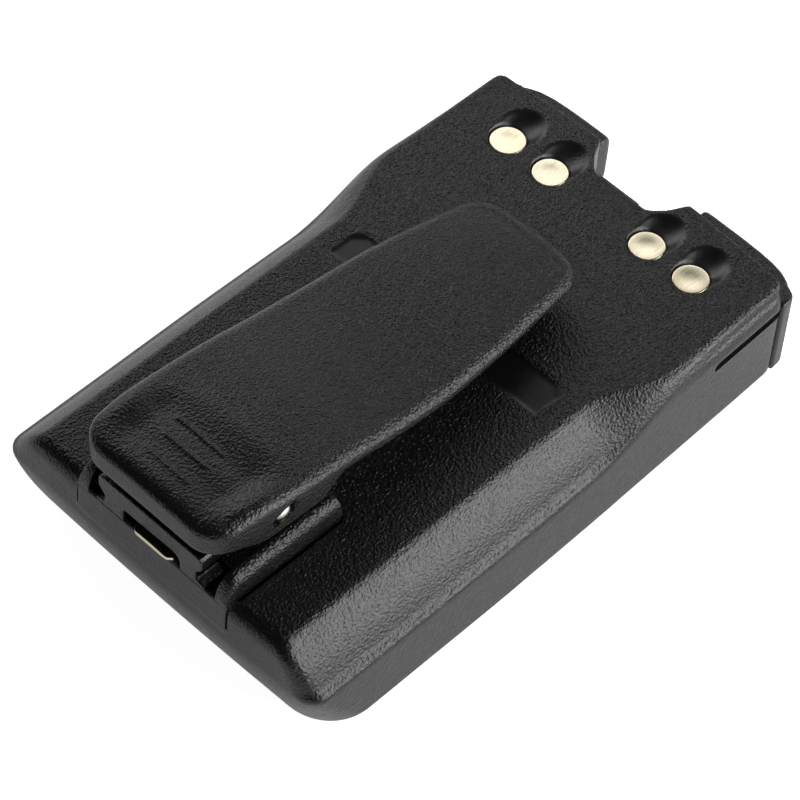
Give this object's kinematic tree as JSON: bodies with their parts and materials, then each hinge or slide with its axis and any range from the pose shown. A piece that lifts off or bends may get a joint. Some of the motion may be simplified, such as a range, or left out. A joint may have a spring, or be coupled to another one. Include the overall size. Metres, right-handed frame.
{
  "type": "belt-clip battery pack",
  "caption": "Rechargeable battery pack for a portable two-way radio, with a sprung belt clip that slides off its rails and recessed charging contacts.",
  "frame": {"origin": "centre of the bottom of the bounding box, which is the face that meets the radio", "axes": "+Z points out of the clip side, +Y along the pack towards the charging contacts, +X to the right when seen from the clip side with the contacts up"},
  "size_m": [0.057, 0.0983, 0.0317],
  "materials": {
    "body_plastic": "fine leather-like moulded grain",
    "inner_plastic": "smooth moulded",
    "gold": "gold plated, bright",
    "spring_steel": "drawn wire",
    "nickel": "nickel strip",
    "cell_can": "drawn can",
    "circuit_board": "solder mask over glass fibre",
    "insulation": "fibre card",
    "label": "blank film",
    "component": "moulded component"
  },
  "bodies": {
    "pack": {"back_shell": "body_plastic", "front_shell": "body_plastic", "clip_rail_bracket": "body_plastic", "charging_contact_1": "gold", "charging_contact_2": "gold", "charging_contact_3": "gold", "charging_contact_4": "gold", "radio_contact_1": "gold", "radio_contact_2": "gold", "radio_contact_3": "gold", "cell_1": "cell_can", "cell_2": "cell_can", "cell_tray": "inner_plastic", "insulator_card": "insulation", "link_strip": "nickel", "positive_strip": "nickel", "negative_strip": "nickel", "protection_board": "circuit_board", "protection_mosfet": "component", "protection_ic": "component", "board_header": "component", "contact_board": "circuit_board", "thermistor": "component", "thermal_fuse": "inner_plastic", "rating_label": "label"},
    "clip_carriage": {"clip_base": "body_plastic", "clip_pivot_pin": "gold", "clip_torsion_spring": "spring_steel"},
    "clip_lever": {"clip_lever": "body_plastic"},
    "clip_latch": {"clip_latch_leaf": "gold"}
  },
  "joints": [
    {"name": "clip_slide", "type": "slide", "parent": "pack", "child": "clip_carriage", "axis": [0, -1, 0], "range_m": [0, 0.021]},
    {"name": "clip_hinge", "type": "hinge", "parent": "clip_carriage", "child": "clip_lever", "pos_m": [0, -0.0376, 0.0274], "axis": [1, 0, 0], "range_deg": [0, 8.5], "stiffness_Nm_per_rad": 0.4, "springref_deg": -34.38},
    {"name": "latch_flex", "type": "hinge", "parent": "clip_carriage", "child": "clip_latch", "pos_m": [0, -0.0343, 0.01905], "axis": [-1, 0, 0], "range_deg": [0, 6], "stiffness_Nm_per_rad": 0.5, "springref_deg": -1.72}
  ]
}
